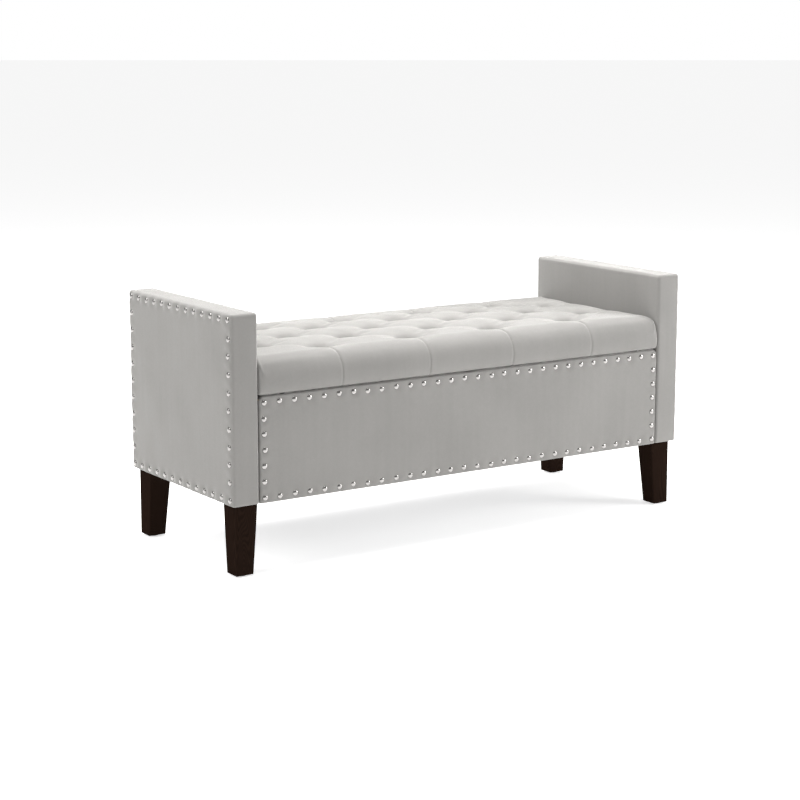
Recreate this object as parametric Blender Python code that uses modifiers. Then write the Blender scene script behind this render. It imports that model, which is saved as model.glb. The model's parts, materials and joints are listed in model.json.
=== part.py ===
"""An upholstered storage bench with two raised arms and a tufted seat that is a hinged lid.

Metres, +Z up. The origin is on the floor under the middle of the bench, +X runs along its
length to the right and -Y is its front. The seat is shown shut.
"""

from math import asin, cos, hypot, pi, radians, sin

import bmesh
import bpy
from mathutils import Matrix, Vector

# Overall size, over the nail heads, and the two heights that divide it.
WIDTH = 1.2192
DEPTH = 0.4699
HEIGHT = 0.5588
SEAT_HEIGHT = 0.4572
LEG_HEIGHT = 0.155

# Clearances.
GAP = 0.0003
LID_SIDE_GAP = 0.0015

# Arms.
ARM_THICKNESS = 0.0635
COVER = 0.004
COVER_RADIUS = 0.004
ARM_SKIN = 0.009
RAIL = 0.045

# Front and back panels, and the floor of the box.
PANEL_HEIGHT = 0.227
BOARD = 0.015
LINING = 0.0015
BACK_RECESS = 0.008
BATTEN = 0.025
FLOOR_BOARD = 0.009
DUST_COVER = 0.001

# Lid.
LID_BOARD = 0.012
LID_WRAP = 0.006
CUSHION_RADIUS = 0.012
CUSHION_CROWN = 0.012
BUMPER_RADIUS = 0.006
BUMPER_INSET = 0.060

# Legs and what holds them.
LEG_TOP = 0.053
LEG_FOOT = 0.041
LEG_INSET = 0.012
GLIDE_RADIUS = 0.013
GLIDE = 0.003
BOLT_RADIUS = 0.004
BOLT_IN_LEG = 0.035
BOLT_IN_RAIL = 0.030

# Nail heads.
NAIL_RADIUS = 0.0065
NAIL_PROUD = 0.003
NAIL_TIP = 0.0032
NAIL_PITCH = 0.0362
NAIL_INSET = 0.0125
NAIL_BAND = 0.0004
NAIL_BAND_WIDTH = 0.003
NAIL_SIDES = 6

# Butt hinges.
HINGE_WIDTH = 0.076
LEAF_INSET = 0.002
HINGE_FROM_END = 0.210
LEAF = 0.0012
LEAF_CLEARANCE = 0.0005
KNUCKLE_RADIUS = 0.003
PIN_RADIUS = 0.00125
PIN_HEAD = 0.0008
KNUCKLES = 5

# Gas struts: both pivots are as far from the hinge's axis, STRUT_ANGLE apart around it when shut.
STRUT_ANGLE = radians(70)
STRUT_DROP = 0.0165
STRUT_CLEARANCE = 0.0022
STRUT_END_ROOM = 0.0205
BARREL_RADIUS = 0.0075
BARREL_WALL = 0.0012
GLAND = 0.008
ROD_RADIUS = 0.003
ROD_CLEARANCE = 0.0004
PISTON = 0.008
EYE_RADIUS = 0.006
EYE_WIDTH = 0.006
STUD_RADIUS = 0.003
STUD_CAP = 0.0015
NECK_RADIUS = 0.0035
NECK = 0.009
BRACKET = 0.002
BRACKET_LENGTH = 0.034
BRACKET_WIDTH = 0.024
BRACKET_CLEARANCE = 0.002

ROUND = 16

# Places worked out from the sizes above.
ARM_OUTER = WIDTH / 2 - NAIL_PROUD
ARM_INNER = ARM_OUTER - ARM_THICKNESS
FRONT = -DEPTH / 2 + NAIL_PROUD
BACK = DEPTH / 2
PANEL_TOP = LEG_HEIGHT + PANEL_HEIGHT
PANEL_BACK = BACK - BACK_RECESS
PANEL_THICKNESS = COVER + BOARD + LINING + 2 * GAP
CAVITY_FRONT = FRONT + PANEL_THICKNESS
CAVITY_BACK = PANEL_BACK - PANEL_THICKNESS
LID_GAP = 2 * LEAF + LEAF_CLEARANCE + 2 * GAP
LID_BOTTOM = PANEL_TOP + LID_GAP
FLOOR_TOP = LEG_HEIGHT + DUST_COVER + BATTEN + FLOOR_BOARD + 2 * GAP
HINGE_Y = PANEL_BACK + KNUCKLE_RADIUS + GAP
HINGE_Z = PANEL_TOP + LID_GAP / 2
HINGE_REACH = PANEL_THICKNESS - LEAF_INSET + KNUCKLE_RADIUS + GAP
STRUT_X = ARM_INNER - GAP - BRACKET - STRUT_CLEARANCE - BARREL_RADIUS

# The wall bracket stands just clear of the floor board, which fixes the struts' size.
WALL_PIVOT_DROP = HINGE_Z - FLOOR_TOP - BRACKET_CLEARANCE - BRACKET_LENGTH / 2
STRUT_ARM = hypot(STRUT_DROP, (WALL_PIVOT_DROP - STRUT_DROP * cos(STRUT_ANGLE)) / sin(STRUT_ANGLE))
STRUT_DIP = asin(STRUT_DROP / STRUT_ARM)
BARREL_LENGTH = 2 * STRUT_ARM * sin(STRUT_ANGLE / 2) - STRUT_END_ROOM

MATERIALS = {
    "velvet": ((0.46, 0.44, 0.41), 0.9, 0.0),
    "plywood": ((0.62, 0.47, 0.30), 0.7, 0.0),
    "pine": ((0.70, 0.55, 0.36), 0.7, 0.0),
    "espresso_wood": ((0.022, 0.014, 0.010), 0.35, 0.0),
    "lining": ((0.02, 0.02, 0.022), 0.95, 0.0),
    "nail_silver": ((0.72, 0.71, 0.69), 0.25, 1.0),
    "zinc_steel": ((0.55, 0.55, 0.54), 0.4, 1.0),
    "strut_black": ((0.015, 0.015, 0.016), 0.35, 0.3),
    "rod_chrome": ((0.80, 0.80, 0.80), 0.12, 1.0),
    "bumper_rubber": ((0.03, 0.03, 0.03), 0.8, 0.0),
    "glide_nylon": ((0.09, 0.09, 0.09), 0.5, 0.0),
}


def empty_scene():
    """Remove every object, then make the collection that holds the bench."""
    for old in list(bpy.data.objects):
        bpy.data.objects.remove(old, do_unlink=True)
    bench = bpy.data.collections.new("storage_bench")
    bpy.context.scene.collection.children.link(bench)
    return bench


def make_materials():
    """One Principled material for each finish."""
    made = {}
    for name, (colour, roughness, metallic) in MATERIALS.items():
        material = bpy.data.materials.new(name)
        material.use_nodes = True
        shader = material.node_tree.nodes["Principled BSDF"]
        shader.inputs["Base Color"].default_value = (*colour, 1.0)
        shader.inputs["Roughness"].default_value = roughness
        shader.inputs["Metallic"].default_value = metallic
        made[name] = material
    return made


def add_object(name, mesh, finish):
    """Link a mesh into the bench as a named part with its finish."""
    part = bpy.data.objects.new(name, mesh)
    mesh.materials.clear()
    mesh.materials.append(FINISHES[finish])
    BENCH.objects.link(part)
    return part


def from_bmesh(name, bm, finish, origin):
    """Turn a bmesh, drawn around its own origin, into a part placed at the origin given."""
    bmesh.ops.recalc_face_normals(bm, faces=bm.faces)
    mesh = bpy.data.meshes.new(name)
    bm.to_mesh(mesh)
    bm.free()
    part = add_object(name, mesh, finish)
    part.location = origin
    return part


def block_bmesh(size):
    """A cube primitive stretched to a size."""
    bm = bmesh.new()
    bmesh.ops.create_cube(bm, size=1.0)
    bmesh.ops.scale(bm, vec=size, verts=bm.verts)
    return bm


def round_upper_edges(bm, radius, segments):
    """Round every edge of a block apart from those of its underside."""
    lowest = min(vert.co.z for vert in bm.verts)
    edges = [
        edge for edge in bm.edges
        if any(vert.co.z > lowest + radius / 2 for vert in edge.verts)
    ]
    bmesh.ops.bevel(bm, geom=edges, offset=radius, segments=segments, profile=0.5, affect="EDGES")


def box(name, low, high, finish, radius=0.0, segments=2):
    """A block between two corners, with its upper edges rounded when it has a radius."""
    low, high = Vector(low), Vector(high)
    bm = block_bmesh(high - low)
    if radius:
        round_upper_edges(bm, radius, segments)
    return from_bmesh(name, bm, finish, (low + high) / 2)


def rod(name, start, end, radius, finish, sides=ROUND):
    """A round bar from one point to another."""
    start, end = Vector(start), Vector(end)
    along = end - start
    bm = bmesh.new()
    bmesh.ops.create_cone(
        bm, cap_ends=True, segments=sides, radius1=radius, radius2=radius, depth=along.length
    )
    turn = along.to_track_quat("Z", "Y").to_matrix().to_4x4()
    bmesh.ops.transform(bm, matrix=turn, verts=bm.verts)
    part = from_bmesh(name, bm, finish, (start + end) / 2)
    smooth(part)
    return part


def smooth(part):
    """Shade the round faces smooth and keep the edges sharp."""
    part.data.shade_smooth()
    part.data.set_sharp_from_angle(angle=radians(40))


def bake(part):
    """Replace a part's mesh with what its modifiers make of it."""
    finish = part.data.materials[0]
    graph = bpy.context.evaluated_depsgraph_get()
    mesh = bpy.data.meshes.new_from_object(part.evaluated_get(graph))
    mesh.name = part.name
    part.modifiers.clear()
    part.data = mesh
    mesh.materials.clear()
    mesh.materials.append(finish)


def combine(part, tool, operation):
    """Unite a tool solid with a part, or cut it away, and drop the tool."""
    modifier = part.modifiers.new(operation.title(), "BOOLEAN")
    modifier.operation = operation
    modifier.solver = "EXACT"
    modifier.object = tool
    bake(part)
    bpy.data.objects.remove(tool, do_unlink=True)


def cut(part, tool):
    """Cut a tool solid out of a part."""
    combine(part, tool, "DIFFERENCE")


def fuse(part, tool):
    """Make a tool solid one with a part."""
    combine(part, tool, "UNION")


def turned(name, profile, finish):
    """A turned solid about Z: its profile lies at +X and runs down the outer side."""
    mesh = bpy.data.meshes.new(name)
    edges = [(index, index + 1) for index in range(len(profile) - 1)]
    mesh.from_pydata([(radius, 0.0, height) for radius, height in profile], edges, [])
    part = add_object(name, mesh, finish)
    screw = part.modifiers.new("Turn", "SCREW")
    screw.steps = ROUND
    screw.render_steps = ROUND
    screw.use_merge_vertices = True
    screw.merge_threshold = 0.00001
    bake(part)
    smooth(part)
    return part


def mirrored(side, low, high):
    """The two corners of a block on the right side, moved to the left one where side is -1."""
    if side > 0:
        return low, high
    return (-high[0], low[1], low[2]), (-low[0], high[1], high[2])


def attach(part, pivot):
    """Parent a part to an empty that isn't turned, leaving it where it is."""
    part.parent = pivot
    part.location = part.location - pivot.location


def side_name(side):
    """The word for a side."""
    return "right" if side > 0 else "left"


def make_arm(side):
    """An arm: two skins on a frame of two rails and two stiles, in a cover open underneath."""
    name = side_name(side) + "_arm_"
    low_z = LEG_HEIGHT + GAP
    inset = COVER + GAP
    inner, outer = ARM_INNER + inset, ARM_OUTER - inset
    front, back = FRONT + inset, BACK - inset
    top = HEIGHT - inset
    skins = (("inner_skin", inner), ("outer_skin", outer - ARM_SKIN))
    for piece, start in skins:
        low, high = mirrored(side, (start, front, low_z), (start + ARM_SKIN, back, top))
        box(name + piece, low, high, "plywood")
    core_low = inner + ARM_SKIN + GAP
    core_high = outer - ARM_SKIN - GAP
    rails = (("bottom_rail", low_z), ("top_rail", top - RAIL))
    for piece, start in rails:
        low, high = mirrored(side, (core_low, front, start), (core_high, back, start + RAIL))
        box(name + piece, low, high, "pine")
    stiles = (("front_stile", front), ("back_stile", back - RAIL))
    for piece, start in stiles:
        low, high = mirrored(
            side,
            (core_low, start, low_z + RAIL + GAP),
            (core_high, start + RAIL, top - RAIL - GAP),
        )
        box(name + piece, low, high, "pine")
    low, high = mirrored(side, (ARM_INNER, FRONT, LEG_HEIGHT), (ARM_OUTER, BACK, HEIGHT))
    cover = box(name + "cover", low, high, "velvet", COVER_RADIUS)
    low, high = mirrored(
        side,
        (ARM_INNER + COVER, FRONT + COVER, LEG_HEIGHT - COVER),
        (ARM_OUTER - COVER, BACK - COVER, HEIGHT - COVER),
    )
    cut(cover, box("arm_hollow", low, high, "velvet"))


def make_panel(name, outside, inward):
    """A board in a cover that wraps its outside, its top and its inside."""
    half = ARM_INNER - GAP
    faces = [
        outside,
        outside + inward * COVER,
        outside + inward * (COVER + GAP),
        outside + inward * (COVER + GAP + BOARD),
        outside + inward * (COVER + 2 * GAP + BOARD),
        outside + inward * PANEL_THICKNESS,
    ]
    board = sorted(faces[2:4])
    hollow = sorted((faces[1], faces[4]))
    whole = sorted((faces[0], faces[5]))
    board_top = PANEL_TOP - COVER - GAP
    box(name + "_board", (-half, board[0], LEG_HEIGHT), (half, board[1], board_top), "plywood")
    cover = box(
        name + "_cover", (-half, whole[0], LEG_HEIGHT), (half, whole[1], PANEL_TOP), "velvet"
    )
    low = (-ARM_OUTER, hollow[0], LEG_HEIGHT - COVER)
    high = (ARM_OUTER, hollow[1], PANEL_TOP - COVER)
    cut(cover, box("panel_hollow", low, high, "velvet"))


def make_floor():
    """The floor of the box on its two battens, and the dust cover beneath."""
    half = ARM_INNER - GAP
    front, back = CAVITY_FRONT + GAP, CAVITY_BACK - GAP
    low_z = LEG_HEIGHT + DUST_COVER + GAP
    high_z = low_z + BATTEN
    box("front_batten", (-half, front, low_z), (half, front + BATTEN, high_z), "pine")
    box("back_batten", (-half, back - BATTEN, low_z), (half, back, high_z), "pine")
    floor_low = (-half, front, FLOOR_TOP - FLOOR_BOARD)
    box("floor_board", floor_low, (half, back, FLOOR_TOP), "plywood")
    dust_high = (half, back, LEG_HEIGHT + DUST_COVER)
    box("dust_cover", (-half, front, LEG_HEIGHT), dust_high, "lining")


def make_leg(side, depth_side):
    """A leg that tapers on its two inner faces, its hanger bolt and its glide."""
    name = ("front_" if depth_side < 0 else "back_") + side_name(side) + "_"
    outer = side * (ARM_OUTER - LEG_INSET)
    edge = FRONT + LEG_INSET if depth_side < 0 else BACK - LEG_INSET
    corner = Vector((outer, edge, 0.0))
    inward = Vector((-side, -depth_side, 0.0))
    middle = corner + inward * LEG_TOP / 2
    low_z, high_z = GLIDE + GAP, LEG_HEIGHT - GAP
    bm = block_bmesh((LEG_TOP, LEG_TOP, high_z - low_z))
    taper = LEG_TOP - LEG_FOOT
    for vert in bm.verts:
        if vert.co.z < 0:
            vert.co.x -= inward.x * taper * (vert.co.x * inward.x > 0)
            vert.co.y -= inward.y * taper * (vert.co.y * inward.y > 0)
    middle.z = (low_z + high_z) / 2
    leg = from_bmesh(name + "leg", bm, "espresso_wood", middle)
    across = side * (ARM_INNER + ARM_OUTER) / 2
    low = Vector((across, middle.y, LEG_HEIGHT - BOLT_IN_LEG))
    high = Vector((across, middle.y, LEG_HEIGHT + BOLT_IN_RAIL))
    margin = Vector((0.0, 0.0, GAP))
    hole = BOLT_RADIUS + GAP
    cut(leg, rod("leg_hole", low - margin, high, hole, "zinc_steel"))
    rail = BENCH.objects[side_name(side) + "_arm_bottom_rail"]
    cut(rail, rod("rail_hole", low, high + margin, hole, "zinc_steel"))
    rod(name + "leg_bolt", low, high, BOLT_RADIUS, "zinc_steel")
    foot = corner + inward * LEG_FOOT / 2
    rod(name + "glide", foot, foot + Vector((0.0, 0.0, GLIDE)), GLIDE_RADIUS, "glide_nylon")


def crown_height(x, y, half_x, half_y):
    """How far a point of the cushion's top rises above its edges."""
    across = max(0.0, 1.0 - (x / half_x) ** 2)
    along = max(0.0, 1.0 - (y / half_y) ** 2)
    return CUSHION_CROWN * across * along


def make_cushion(half, front, back):
    """The lid's cushion: a crowned block, hollowed underneath for the lid's board."""
    size = Vector((2 * half, back - front, SEAT_HEIGHT - LID_BOTTOM))
    bm = block_bmesh(size)
    round_upper_edges(bm, CUSHION_RADIUS, 3)
    for axis, cuts in ((0, 8), (1, 4)):
        normal = Vector((0.0, 0.0, 0.0))
        normal[axis] = 1.0
        for index in range(1, cuts):
            point = normal * size[axis] * (index / cuts - 0.5)
            geometry = bm.verts[:] + bm.edges[:] + bm.faces[:]
            bmesh.ops.bisect_plane(bm, geom=geometry, plane_co=point, plane_no=normal)
    for vert in bm.verts:
        if vert.co.z > 0:
            vert.co.z += crown_height(vert.co.x, vert.co.y, half, size.y / 2)
    middle = Vector((0.0, (front + back) / 2, (LID_BOTTOM + SEAT_HEIGHT) / 2))
    cushion = from_bmesh("lid_cushion", bm, "velvet", middle)
    low = (LID_WRAP - half, front + LID_WRAP, LID_BOTTOM - LID_WRAP)
    high = (half - LID_WRAP, back - LID_WRAP, LID_BOTTOM + LINING + LID_BOARD + 2 * GAP)
    cut(cushion, box("cushion_hollow", low, high, "velvet"))
    return cushion


def make_lid(pivot):
    """The lid: cushion, board, lining and the two bumpers that it comes down on."""
    half = ARM_INNER - LID_SIDE_GAP
    attach(make_cushion(half, FRONT, PANEL_BACK), pivot)
    inset = LID_WRAP + GAP
    low_x, high_x = inset - half, half - inset
    front, back = FRONT + inset, PANEL_BACK - inset
    lining_top = LID_BOTTOM + LINING
    low, high = (low_x, front, LID_BOTTOM), (high_x, back, lining_top)
    attach(box("lid_lining", low, high, "lining"), pivot)
    low, high = (low_x, front, lining_top + GAP), (high_x, back, lining_top + GAP + LID_BOARD)
    attach(box("lid_board", low, high, "plywood"), pivot)
    for side in (-1, 1):
        place = Vector((side * (half - BUMPER_INSET), FRONT + PANEL_THICKNESS / 2, 0.0))
        low = place + Vector((0.0, 0.0, PANEL_TOP + GAP))
        high = place + Vector((0.0, 0.0, LID_BOTTOM - GAP))
        bumper = rod(side_name(side) + "_bumper", low, high, BUMPER_RADIUS, "bumper_rubber")
        attach(bumper, pivot)


def make_hinge_leaf(name, middle, low_z, own):
    """One leaf of a butt hinge, with the knuckles that it owns around the pin's axis."""
    low = (middle - HINGE_WIDTH / 2, HINGE_Y - HINGE_REACH, low_z)
    high = (middle + HINGE_WIDTH / 2, HINGE_Y - KNUCKLE_RADIUS - GAP, low_z + LEAF)
    leaf = box(name, low, high, "zinc_steel")
    pitch = HINGE_WIDTH / KNUCKLES
    for index in own:
        start = middle - HINGE_WIDTH / 2 + index * pitch + GAP / 2
        end = start + pitch - GAP
        tab_low = (start, high[1] - KNUCKLE_RADIUS, low_z)
        fuse(leaf, box("tab", tab_low, (end, HINGE_Y, low_z + LEAF), "zinc_steel"))
        fuse(leaf, rod("knuckle", (start, HINGE_Y, HINGE_Z), (end, HINGE_Y, HINGE_Z),
                       KNUCKLE_RADIUS, "zinc_steel"))
    reach = HINGE_WIDTH
    cut(leaf, rod("pin_bore", (middle - reach, HINGE_Y, HINGE_Z), (middle + reach, HINGE_Y, HINGE_Z),
                  PIN_RADIUS + GAP, "zinc_steel"))
    return leaf


def make_hinge(side, pivot):
    """A butt hinge between the back panel's top and the lid's underside."""
    name = side_name(side) + "_hinge_"
    middle = side * (ARM_INNER - HINGE_FROM_END)
    make_hinge_leaf(name + "panel_leaf", middle, PANEL_TOP + GAP, range(0, KNUCKLES, 2))
    lid_leaf_z = LID_BOTTOM - GAP - LEAF
    leaf = make_hinge_leaf(name + "lid_leaf", middle, lid_leaf_z, range(1, KNUCKLES, 2))
    attach(leaf, pivot)
    half = HINGE_WIDTH / 2 + PIN_HEAD
    rod(name + "pin", (middle - half, HINGE_Y, HINGE_Z), (middle + half, HINGE_Y, HINGE_Z),
        PIN_RADIUS, "zinc_steel")


def strut_points():
    """The wall pivot and the lid pivot of a strut as (y, z) with the lid shut."""
    points = []
    for angle in (STRUT_DIP + STRUT_ANGLE, STRUT_DIP):
        points.append((HINGE_Y - STRUT_ARM * cos(angle), HINGE_Z - STRUT_ARM * sin(angle)))
    return points


def make_eye(part):
    """Fuse an eye around the part's own origin, its bore along X."""
    half = EYE_WIDTH / 2
    fuse(part, rod("eye", (-half, 0.0, 0.0), (half, 0.0, 0.0), EYE_RADIUS, "strut_black"))
    bore = STUD_RADIUS + ROD_CLEARANCE
    cut(part, rod("eye_bore", (-EYE_WIDTH, 0.0, 0.0), (EYE_WIDTH, 0.0, 0.0), bore, "strut_black"))


def make_cylinder(name):
    """A strut's cylinder, drawn up +Z from its pivot: the rod's bore opens at its far end."""
    bore = BARREL_RADIUS - BARREL_WALL
    mouth = ROD_RADIUS + ROD_CLEARANCE
    neck_start = STUD_RADIUS + ROD_CLEARANCE + BARREL_WALL
    profile = (
        (0.0, NECK + BARREL_RADIUS),
        (bore, NECK + BARREL_RADIUS),
        (bore, BARREL_LENGTH - GLAND),
        (mouth, BARREL_LENGTH - GLAND),
        (mouth, BARREL_LENGTH),
        (BARREL_RADIUS - BARREL_WALL, BARREL_LENGTH),
        (BARREL_RADIUS, BARREL_LENGTH - BARREL_WALL),
        (BARREL_RADIUS, NECK),
        (NECK_RADIUS, NECK),
        (NECK_RADIUS, neck_start),
        (0.0, neck_start),
    )
    cylinder = turned(name, profile, "strut_black")
    make_eye(cylinder)
    return cylinder


def make_rod(name):
    """A strut's rod, drawn down -Z from its pivot, with the piston on its end."""
    neck_start = STUD_RADIUS + ROD_CLEARANCE + BARREL_WALL
    piston = BARREL_RADIUS - BARREL_WALL - ROD_CLEARANCE
    profile = (
        (0.0, -neck_start),
        (NECK_RADIUS, -neck_start),
        (NECK_RADIUS, -NECK),
        (ROD_RADIUS, -NECK),
        (ROD_RADIUS, PISTON - BARREL_LENGTH),
        (piston, PISTON - BARREL_LENGTH),
        (piston, -BARREL_LENGTH),
        (0.0, -BARREL_LENGTH),
    )
    stem = turned(name, profile, "rod_chrome")
    make_eye(stem)
    return stem


def make_stud(plate, start, side, length):
    """Fuse a headed stud to a bracket, running along X from a point on it."""
    start = Vector(start)
    along = Vector((side, 0.0, 0.0))
    end = start + along * length
    fuse(plate, rod("stud", start, end, STUD_RADIUS, "zinc_steel"))
    cap = end - along * STUD_CAP
    fuse(plate, rod("stud_cap", cap, end, EYE_RADIUS - BARREL_WALL, "zinc_steel"))


def make_strut(side, pivot):
    """A gas strut from the arm's inner face to the lid, and its two brackets."""
    name = side_name(side) + "_strut_"
    (wall_y, wall_z), (lid_y, lid_z) = strut_points()
    direction = Vector((0.0, lid_y - wall_y, lid_z - wall_z))
    tilt = Vector((0.0, 0.0, 1.0)).rotation_difference(direction).to_euler()
    cylinder = make_cylinder(name + "cylinder")
    cylinder.rotation_euler = tilt
    cylinder.location = (side * STRUT_X, wall_y, wall_z)
    stem = make_rod(name + "rod")
    stem.rotation_euler = tilt
    stem.location = (side * STRUT_X, lid_y, lid_z)
    attach(stem, pivot)
    stud = EYE_WIDTH / 2 + ROD_CLEARANCE + STUD_CAP
    face = ARM_INNER - GAP
    plate_back = min(wall_y + BRACKET_WIDTH / 2, CAVITY_BACK - BRACKET_CLEARANCE)
    low, high = mirrored(
        side,
        (face - BRACKET, plate_back - BRACKET_WIDTH, wall_z - BRACKET_LENGTH / 2),
        (face, plate_back, wall_z + BRACKET_LENGTH / 2),
    )
    wall_bracket = box(name + "wall_bracket", low, high, "zinc_steel")
    wall_start = (side * (face - BRACKET / 2), wall_y, wall_z)
    make_stud(wall_bracket, wall_start, -side, face - BRACKET / 2 - STRUT_X + stud)
    ear = STRUT_X - EYE_WIDTH / 2 - BRACKET - ROD_CLEARANCE
    top = LID_BOTTOM - GAP
    low, high = mirrored(
        side,
        (ear - BRACKET_WIDTH, lid_y - BRACKET_LENGTH / 2, top - BRACKET),
        (ear, lid_y + BRACKET_LENGTH / 2, top),
    )
    lid_bracket = box(name + "lid_bracket", low, high, "zinc_steel")
    low, high = mirrored(
        side,
        (ear - BRACKET, lid_y - BRACKET_WIDTH / 2, lid_z - EYE_RADIUS - BRACKET),
        (ear, lid_y + BRACKET_WIDTH / 2, top),
    )
    fuse(lid_bracket, box("ear", low, high, "zinc_steel"))
    lid_start = (side * (ear - BRACKET / 2), lid_y, lid_z)
    make_stud(lid_bracket, lid_start, side, STRUT_X + stud - ear + BRACKET / 2)
    attach(lid_bracket, pivot)


def spaced(low, high):
    """Evenly spaced places from low to high, as near to the nails' pitch as they fit."""
    steps = max(1, round((high - low) / NAIL_PITCH))
    return [low + (high - low) * index / steps for index in range(steps + 1)]


def make_nails(name, low, high, place):
    """A rectangle of nail heads on a face, on the thin band that joins them.

    The rectangle is drawn in the XY plane with the heads up +Z, and place turns it onto the face.
    """
    half = NAIL_BAND_WIDTH / 2
    low, high = Vector(low), Vector(high)
    size = high - low
    band = block_bmesh((size.x + 2 * half, size.y + 2 * half, NAIL_BAND))
    bmesh.ops.translate(band, vec=(0.0, 0.0, NAIL_BAND / 2), verts=band.verts)
    part = from_bmesh(name, band, "nail_silver", (0.0, 0.0, 0.0))
    window = block_bmesh((size.x - 2 * half, size.y - 2 * half, 4 * NAIL_BAND))
    cut(part, from_bmesh("window", window, "nail_silver", (0.0, 0.0, 0.0)))
    across = spaced(-size.x / 2, size.x / 2)
    up = spaced(-size.y / 2, size.y / 2)
    spots = [(x, y) for x in across for y in (up[0], up[-1])]
    spots += [(x, y) for x in (across[0], across[-1]) for y in up[1:-1]]
    heads = bmesh.new()
    depth = NAIL_PROUD - GAP
    for x, y in spots:
        centre = Matrix.Translation((x, y, depth / 2))
        bmesh.ops.create_cone(heads, cap_ends=True, segments=NAIL_SIDES, radius1=NAIL_RADIUS,
                              radius2=NAIL_TIP, depth=depth, matrix=centre)
    fuse(part, from_bmesh("heads", heads, "nail_silver", (0.0, 0.0, 0.0)))
    part.matrix_world = place @ Matrix.Translation(((low + high) / 2).to_3d())


def make_all_nails():
    """The nails around the front panel and around the outer face of each arm."""
    across = ARM_INNER - NAIL_INSET
    low_z = LEG_HEIGHT + NAIL_INSET
    face = Matrix.Translation((0.0, FRONT - GAP, 0.0)) @ Matrix.Rotation(pi / 2, 4, "X")
    high = (across, PANEL_TOP - NAIL_INSET)
    make_nails("front_nails", (-across, low_z), high, face)
    for side in (-1, 1):
        turn = Matrix.Rotation(side * pi / 2, 4, "Z") @ Matrix.Rotation(pi / 2, 4, "X")
        face = Matrix.Translation((side * (ARM_OUTER + GAP), 0.0, 0.0)) @ turn
        ends = sorted((side * (FRONT + NAIL_INSET), side * (BACK - NAIL_INSET)))
        low, high = (ends[0], low_z), (ends[1], HEIGHT - NAIL_INSET)
        make_nails(side_name(side) + "_nails", low, high, face)


def main():
    """Build the bench."""
    for side in (-1, 1):
        make_arm(side)
        make_leg(side, -1)
        make_leg(side, 1)
    make_panel("front", FRONT, 1)
    make_panel("back", PANEL_BACK, -1)
    make_floor()
    make_all_nails()
    pivot = bpy.data.objects.new("lid_axis", None)
    pivot.location = (0.0, HINGE_Y, HINGE_Z)
    BENCH.objects.link(pivot)
    make_lid(pivot)
    for side in (-1, 1):
        make_hinge(side, pivot)
        make_strut(side, pivot)


BENCH = empty_scene()
FINISHES = make_materials()
main()
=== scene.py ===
"""Dresses a storage bench: velvet, tufted seat, nail heads, stained legs, linings and hardware.

Every piece is built in metres around the bench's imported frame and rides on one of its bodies.
"""

import json
import logging
import math
import random
import sys
from dataclasses import dataclass, field
from enum import Enum
from typing import Iterable, Sequence

import bmesh
import bpy
import numpy as np
from mathutils import Matrix, Vector

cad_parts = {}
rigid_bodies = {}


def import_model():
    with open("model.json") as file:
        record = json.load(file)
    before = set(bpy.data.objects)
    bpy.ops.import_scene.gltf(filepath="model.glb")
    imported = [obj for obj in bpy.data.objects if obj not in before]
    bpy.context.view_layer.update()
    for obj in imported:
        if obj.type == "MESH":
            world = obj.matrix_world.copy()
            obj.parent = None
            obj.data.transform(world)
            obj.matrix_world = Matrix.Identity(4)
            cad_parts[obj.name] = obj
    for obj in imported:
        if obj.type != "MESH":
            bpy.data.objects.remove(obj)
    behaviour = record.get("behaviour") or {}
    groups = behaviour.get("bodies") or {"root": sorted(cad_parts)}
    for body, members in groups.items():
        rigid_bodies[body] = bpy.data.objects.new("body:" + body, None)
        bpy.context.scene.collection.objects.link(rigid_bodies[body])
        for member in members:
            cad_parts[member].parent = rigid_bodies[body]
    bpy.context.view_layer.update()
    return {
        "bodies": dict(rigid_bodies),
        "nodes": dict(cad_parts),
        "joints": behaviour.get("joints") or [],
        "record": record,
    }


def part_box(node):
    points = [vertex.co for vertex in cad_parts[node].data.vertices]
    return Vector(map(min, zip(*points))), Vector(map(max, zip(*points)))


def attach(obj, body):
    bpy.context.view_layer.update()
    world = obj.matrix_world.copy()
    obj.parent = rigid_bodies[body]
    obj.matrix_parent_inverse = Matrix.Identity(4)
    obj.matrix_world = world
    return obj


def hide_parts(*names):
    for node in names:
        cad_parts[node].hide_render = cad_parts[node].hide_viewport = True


LOG = logging.getLogger("storage_bench")

Array = np.ndarray
Colour = tuple[float, float, float]
Socket = bpy.types.NodeSocket


class Body(str, Enum):
    """The frame's bodies that pieces ride on."""

    CARCASS = "carcass"
    LID = "lid"


class Slot(str, Enum):
    """The record's material slots."""

    VELVET = "velvet"
    PLYWOOD = "plywood"
    PINE = "pine"
    ESPRESSO = "espresso_wood"
    LINING = "lining"
    NAIL = "nail_silver"
    ZINC = "zinc_steel"
    STRUT = "strut_black"
    ROD = "rod_chrome"
    RUBBER = "bumper_rubber"
    NYLON = "glide_nylon"


class Side(Enum):
    """An end of the bench, with the direction of its outside along X."""

    LEFT = -1
    RIGHT = 1

    @property
    def word(self) -> str:
        """The word that the frame's node names start with."""
        return self.name.lower()


# ---------------------------------------------------------------------------
# Shader nodes
# ---------------------------------------------------------------------------


def add_node(tree: bpy.types.NodeTree, kind: str, inputs: dict, **settings: object) -> bpy.types.Node:
    """Add a shader node, set it up and join its inputs.

    Args:
        tree: The tree that the node goes in.
        kind: Blender's name for the node's type.
        inputs: Each input's name or index, with a value or the socket that feeds it.
        settings: Properties of the node.

    Returns:
        The new node.
    """
    node = tree.nodes.new(kind)
    for name, value in settings.items():
        setattr(node, name, value)
    for name, value in inputs.items():
        if isinstance(value, bpy.types.NodeSocket):
            tree.links.new(value, node.inputs[name])
        else:
            node.inputs[name].default_value = value
    return node


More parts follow.
